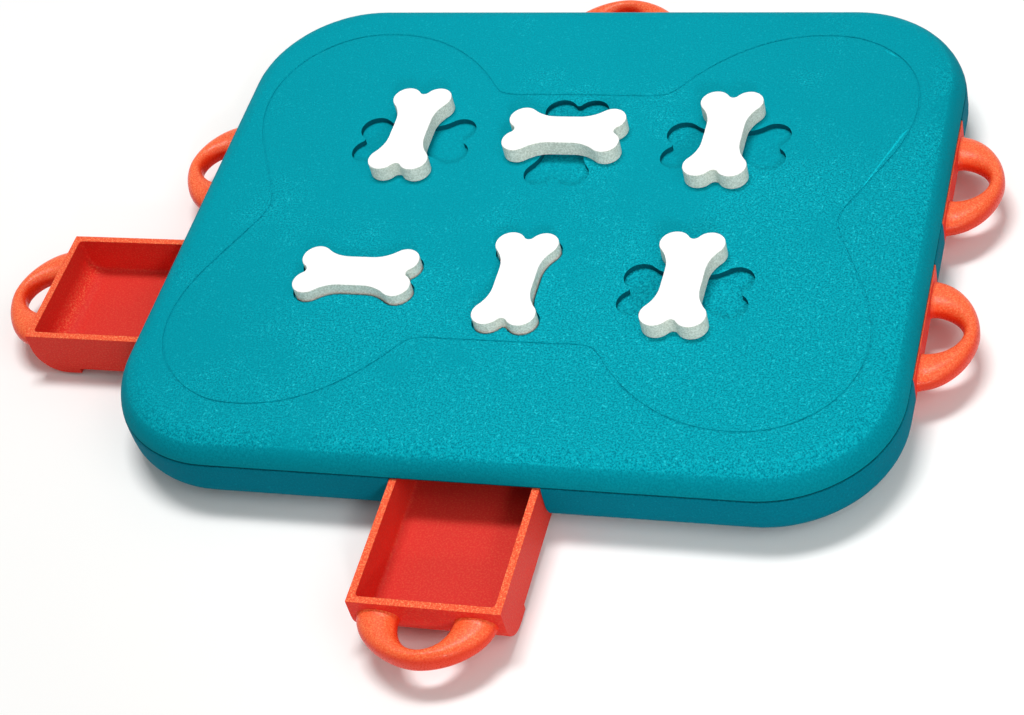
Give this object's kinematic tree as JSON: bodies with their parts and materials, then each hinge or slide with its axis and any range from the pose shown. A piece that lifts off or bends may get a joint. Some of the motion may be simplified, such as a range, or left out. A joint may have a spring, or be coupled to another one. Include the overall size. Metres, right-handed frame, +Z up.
{
  "type": "dog puzzle feeder toy",
  "caption": "Low rounded case with sliding treat drawers on all four sides, each with a loop handle and locked by a bone-shaped peg in the top.",
  "frame": {"origin": "centre of the case seen from above, on the table: the middle of the centre foot's resting face", "axes": "+Z up, +X to the right along the case's longer side, +Y towards the back; the single end drawer that stands open is at the front, -Y"},
  "size_m": [0.4138, 0.3672, 0.0418],
  "materials": {
    "case_plastic": "fine-grained moulded teal",
    "drawer_plastic": "satin moulded orange-red",
    "bone_plastic": "satin moulded white",
    "screw_steel": "zinc plated",
    "foot_rubber": "soft non-slip rubber"
  },
  "bodies": {
    "case": {"base_tray": "case_plastic", "top_cover": "case_plastic", "case_screw_1": "screw_steel", "case_screw_2": "screw_steel", "case_screw_3": "screw_steel", "case_screw_4": "screw_steel", "case_screw_5": "screw_steel", "case_screw_6": "screw_steel", "foot_front_left": "foot_rubber", "foot_front_right": "foot_rubber", "foot_back_left": "foot_rubber", "foot_back_right": "foot_rubber", "foot_centre": "foot_rubber"},
    "front_drawer": {"drawer_front": "drawer_plastic"},
    "back_drawer": {"drawer_back": "drawer_plastic"},
    "left_front_drawer": {"drawer_left_front": "drawer_plastic"},
    "left_back_drawer": {"drawer_left_back": "drawer_plastic"},
    "right_front_drawer": {"drawer_right_front": "drawer_plastic"},
    "right_back_drawer": {"drawer_right_back": "drawer_plastic"},
    "front_peg": {"bone_peg_front": "bone_plastic"},
    "back_peg": {"bone_peg_back": "bone_plastic"},
    "left_front_peg": {"bone_peg_left_front": "bone_plastic"},
    "left_back_peg": {"bone_peg_left_back": "bone_plastic"},
    "right_front_peg": {"bone_peg_right_front": "bone_plastic"},
    "right_back_peg": {"bone_peg_right_back": "bone_plastic"}
  },
  "joints": [
    {"name": "front_drawer_slide", "type": "slide", "parent": "case", "child": "front_drawer", "axis": [0, -1, 0], "range_m": [-0.0441, 0.0228]},
    {"name": "back_drawer_slide", "type": "slide", "parent": "case", "child": "back_drawer", "axis": [0, 1, 0], "range_m": [0, 0.08]},
    {"name": "left_front_drawer_slide", "type": "slide", "parent": "case", "child": "left_front_drawer", "axis": [-1, 0, 0], "range_m": [-0.0394, 0.0262]},
    {"name": "left_back_drawer_slide", "type": "slide", "parent": "case", "child": "left_back_drawer", "axis": [-1, 0, 0], "range_m": [0, 0.08]},
    {"name": "right_front_drawer_slide", "type": "slide", "parent": "case", "child": "right_front_drawer", "axis": [1, 0, 0], "range_m": [0, 0.08]},
    {"name": "right_back_drawer_slide", "type": "slide", "parent": "case", "child": "right_back_drawer", "axis": [1, 0, 0], "range_m": [0, 0.08]},
    {"name": "front_peg_lift", "type": "slide", "parent": "case", "child": "front_peg", "axis": [0, 0, 1], "range_m": [0, 0.016]},
    {"name": "back_peg_turn", "type": "hinge", "parent": "case", "child": "back_peg", "pos_m": [0, 0.042, 0.03], "axis": [0, 0, 1], "range_deg": [-90, 90]},
    {"name": "left_front_peg_lift", "type": "slide", "parent": "case", "child": "left_front_peg", "axis": [0, 0, 1], "range_m": [0, 0.016]},
    {"name": "left_back_peg_turn", "type": "hinge", "parent": "case", "child": "left_back_peg", "pos_m": [-0.0683, 0.0413, 0.03], "axis": [0, 0, 1], "range_deg": [-90, 90]},
    {"name": "right_front_peg_turn", "type": "hinge", "parent": "case", "child": "right_front_peg", "pos_m": [0.0683, -0.0413, 0.03], "axis": [0, 0, 1], "range_deg": [-90, 90]},
    {"name": "right_back_peg_turn", "type": "hinge", "parent": "case", "child": "right_back_peg", "pos_m": [0.0683, 0.0413, 0.03], "axis": [0, 0, 1], "range_deg": [-90, 90]}
  ]
}
